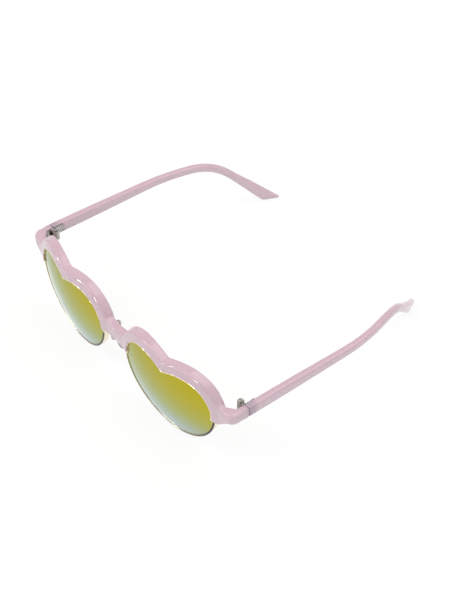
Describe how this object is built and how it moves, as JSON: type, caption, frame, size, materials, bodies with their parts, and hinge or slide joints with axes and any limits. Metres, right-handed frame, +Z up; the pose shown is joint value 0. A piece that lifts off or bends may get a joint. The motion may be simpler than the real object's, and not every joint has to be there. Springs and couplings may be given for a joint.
{
  "type": "heart shaped sunglasses",
  "caption": "Browline sunglasses with heart shaped gradient lenses, a pink plastic brow and folding temples, thin metal rims and rocking nose pads.",
  "frame": {"origin": "on the table, under the middle of the open glasses' outline box", "axes": "+Z up, the front of the lenses faces -Y, the temples run to +Y, the wearer's left is +X"},
  "size_m": [0.142, 0.1384, 0.0447],
  "materials": {
    "pink_plastic": "polished translucent",
    "gold_metal": "pale gold plate",
    "mirror_lens": "yellow mirror fading to clear grey",
    "hinge_steel": "plain",
    "clear_silicone": "clear soft",
    "hard_clear_plastic": "clear hard"
  },
  "bodies": {
    "front": {"brow_front": "pink_plastic", "rim_left": "gold_metal", "rim_right": "gold_metal", "lens_left": "mirror_lens", "lens_right": "mirror_lens", "closing_screw_left": "hinge_steel", "closing_screw_right": "hinge_steel", "brow_screws": "hinge_steel", "hinge_front_left": "hinge_steel", "hinge_front_right": "hinge_steel", "hinge_screw_left": "hinge_steel", "hinge_screw_right": "hinge_steel", "pad_arm_left": "hinge_steel", "pad_arm_right": "hinge_steel", "pad_screw_left": "hinge_steel", "pad_screw_right": "hinge_steel"},
    "temple_left_body": {"temple_left": "pink_plastic", "hinge_temple_left": "hinge_steel"},
    "temple_right_body": {"temple_right": "pink_plastic", "hinge_temple_right": "hinge_steel"},
    "nose_pad_left_body": {"nose_pad_left": "clear_silicone", "pad_core_left": "hard_clear_plastic"},
    "nose_pad_right_body": {"nose_pad_right": "clear_silicone", "pad_core_right": "hard_clear_plastic"}
  },
  "joints": [
    {"name": "temple_left_hinge", "type": "hinge", "parent": "front", "child": "temple_left_body", "pos_m": [0.0655, -0.05207, 0.03144], "axis": [0, 0, 1], "range_deg": [0, 83]},
    {"name": "temple_right_hinge", "type": "hinge", "parent": "front", "child": "temple_right_body", "pos_m": [-0.0655, -0.05207, 0.03144], "axis": [0, 0, -1], "range_deg": [0, 76]},
    {"name": "nose_pad_left_rock", "type": "hinge", "parent": "front", "child": "nose_pad_left_body", "pos_m": [0.01279, -0.05855, 0.01146], "axis": [-0.4695, -0.8829, 0], "range_deg": [-7, 7]},
    {"name": "nose_pad_right_rock", "type": "hinge", "parent": "front", "child": "nose_pad_right_body", "pos_m": [-0.01279, -0.05855, 0.01146], "axis": [0.4695, -0.8829, 0], "range_deg": [-7, 7]}
  ]
}
